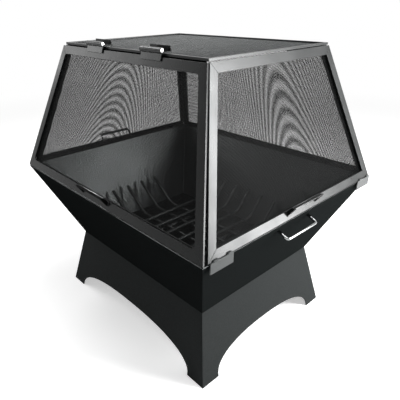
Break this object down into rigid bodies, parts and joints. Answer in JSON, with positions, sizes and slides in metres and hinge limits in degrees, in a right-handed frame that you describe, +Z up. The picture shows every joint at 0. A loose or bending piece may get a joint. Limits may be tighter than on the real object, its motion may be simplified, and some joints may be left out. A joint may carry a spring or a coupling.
{
  "type": "wood burning fire pit",
  "caption": "Rectangular fire pit: a flared base with arched feet, an open bowl with a log grate, and a lift-off mesh spark screen whose front is a hinged lift-up door.",
  "frame": {"origin": "on the ground under the middle of the whole object's box", "axes": "+Z up, +Y along the long side, -X towards the door"},
  "size_m": [0.7808, 0.9374, 0.924],
  "materials": {
    "base_paint": "satin black heat-resistant paint on sheet steel",
    "bowl_paint": "satin black heat-resistant paint on sheet steel",
    "frame_paint": "satin dark grey paint on flat steel bar",
    "screen_wire": "thin black paint on steel wire",
    "grate_steel": "dull black paint on round steel bar",
    "polished_handle": "polished bright steel rod",
    "hinge_steel": "satin black paint on rolled steel",
    "pin_steel": "bare turned steel"
  },
  "bodies": {
    "base": {"base_front_panel": "base_paint", "base_back_panel": "base_paint", "base_right_panel": "base_paint", "base_left_panel": "base_paint", "bowl_front_wall": "bowl_paint", "bowl_back_wall": "bowl_paint", "bowl_right_wall": "bowl_paint", "bowl_left_wall": "bowl_paint", "bowl_floor": "bowl_paint", "bowl_right_handle": "polished_handle", "bowl_left_handle": "polished_handle"},
    "grate": {"grate_right_staple": "grate_steel", "grate_left_staple": "grate_steel", "grate_long_bar_1": "grate_steel", "grate_long_bar_2": "grate_steel", "grate_long_bar_3": "grate_steel", "grate_long_bar_4": "grate_steel", "grate_cross_bar_1": "grate_steel", "grate_cross_bar_2": "grate_steel", "grate_cross_bar_3": "grate_steel", "grate_cross_bar_4": "grate_steel", "grate_cross_bar_5": "grate_steel", "grate_cross_bar_6": "grate_steel"},
    "screen": {"screen_right_bottom_rail": "frame_paint", "screen_right_top_rail": "frame_paint", "screen_right_front_stile": "frame_paint", "screen_right_back_stile": "frame_paint", "screen_right_net": "screen_wire", "screen_back_bottom_rail": "frame_paint", "screen_back_top_rail": "frame_paint", "screen_back_right_stile": "frame_paint", "screen_back_left_stile": "frame_paint", "screen_back_net": "screen_wire", "screen_left_bottom_rail": "frame_paint", "screen_left_top_rail": "frame_paint", "screen_left_front_stile": "frame_paint", "screen_left_back_stile": "frame_paint", "screen_left_net": "screen_wire", "screen_front_sill": "frame_paint", "screen_top_ring": "frame_paint", "screen_top_net": "screen_wire", "screen_right_handle": "frame_paint", "screen_left_handle": "frame_paint", "clip_right_front": "frame_paint", "clip_right_back": "frame_paint", "clip_left_front": "frame_paint", "clip_left_back": "frame_paint", "hinge_left_fixed_leaf": "hinge_steel", "hinge_right_fixed_leaf": "hinge_steel", "hinge_left_pin": "pin_steel", "hinge_right_pin": "pin_steel"},
    "door": {"door_bottom_rail": "frame_paint", "door_top_rail": "frame_paint", "door_right_stile": "frame_paint", "door_left_stile": "frame_paint", "door_net": "screen_wire", "door_handle": "frame_paint", "hinge_left_door_leaf": "hinge_steel", "hinge_right_door_leaf": "hinge_steel"}
  },
  "joints": [
    {"name": "screen_lift", "type": "slide", "parent": "base", "child": "screen", "axis": [0, 0, 1], "range_m": [0, 0.12]},
    {"name": "door_hinge", "type": "hinge", "parent": "screen", "child": "door", "pos_m": [-0.24013, 0, 0.9148], "axis": [0, 1, 0], "range_deg": [0, 230]},
    {"name": "grate_lift", "type": "slide", "parent": "base", "child": "grate", "axis": [0, 0, 1], "range_m": [0, 0.29]}
  ]
}
